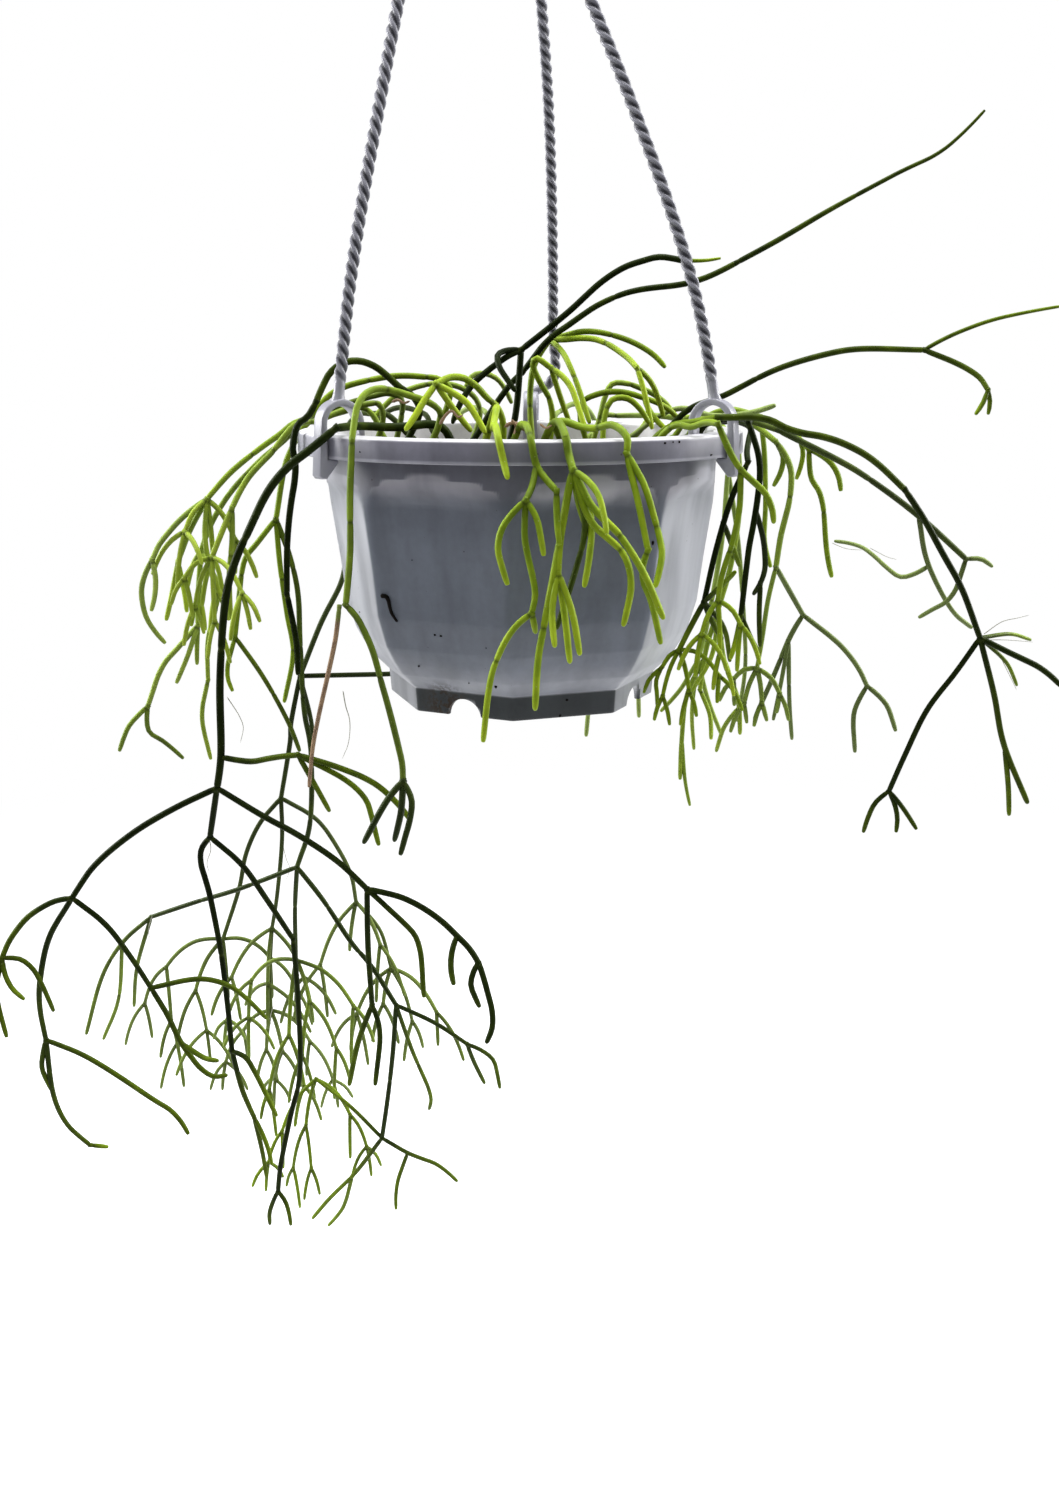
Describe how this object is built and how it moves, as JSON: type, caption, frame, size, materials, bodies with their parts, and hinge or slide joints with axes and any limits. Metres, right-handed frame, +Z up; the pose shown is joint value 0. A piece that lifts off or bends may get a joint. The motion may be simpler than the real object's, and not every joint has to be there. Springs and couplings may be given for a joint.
{
  "type": "potted rhipsalis",
  "caption": "Rhipsalis with thin forking stems that spill from an eight-sided plastic hanging pot, on a clip-on hanger with a hook.",
  "frame": {"origin": "the point inside the top of the hook where it rests on what carries it", "axes": "+Z up, -Y towards the front of the view, +X to the right of it"},
  "size_m": [0.5193, 0.2755, 0.8083],
  "materials": {
    "pot_plastic": "light lilac-grey plastic with a dull sheen, a few specks of dirt",
    "hanger_plastic": "lilac-grey plastic, rope-like twist on the rods",
    "soil": "dark, crumbly potting mix",
    "old_stem": "very dark green, waxy, jointed",
    "young_stem": "bright yellow-green, waxy, jointed",
    "dry_stem": "dry, brown, matt"
  },
  "bodies": {
    "root": {"dry_shoot": "dry_stem", "hanger_hook": "hanger_plastic", "hanger_leg_back": "hanger_plastic", "hanger_leg_left": "hanger_plastic", "hanger_leg_right": "hanger_plastic", "pot": "pot_plastic", "soil": "soil", "stem_arch_left": "young_stem", "stem_arch_mid": "young_stem", "stem_arch_right": "young_stem", "stem_back_a": "young_stem", "stem_back_b": "young_stem", "stem_back_c": "old_stem", "stem_far_right": "old_stem", "stem_front_a": "young_stem", "stem_front_b": "young_stem", "stem_front_c": "young_stem", "stem_front_left": "young_stem", "stem_front_stub": "young_stem", "stem_inner_a": "young_stem", "stem_inner_b": "young_stem", "stem_inner_c": "young_stem", "stem_inner_d": "young_stem", "stem_left_a": "young_stem", "stem_left_b": "young_stem", "stem_left_back": "old_stem", "stem_left_c": "young_stem", "stem_left_d": "young_stem", "stem_left_loop": "old_stem", "stem_main": "old_stem", "stem_right_a": "young_stem", "stem_right_arch": "old_stem", "stem_right_arch_b": "old_stem", "stem_right_b": "young_stem", "stem_right_c": "young_stem", "stem_right_dark_a": "old_stem", "stem_right_dark_b": "old_stem", "stem_right_low_a": "young_stem", "stem_right_low_b": "young_stem", "stem_right_tip": "young_stem", "stem_up_right_a": "old_stem", "stem_up_right_b": "old_stem"}
  },
  "joints": []
}
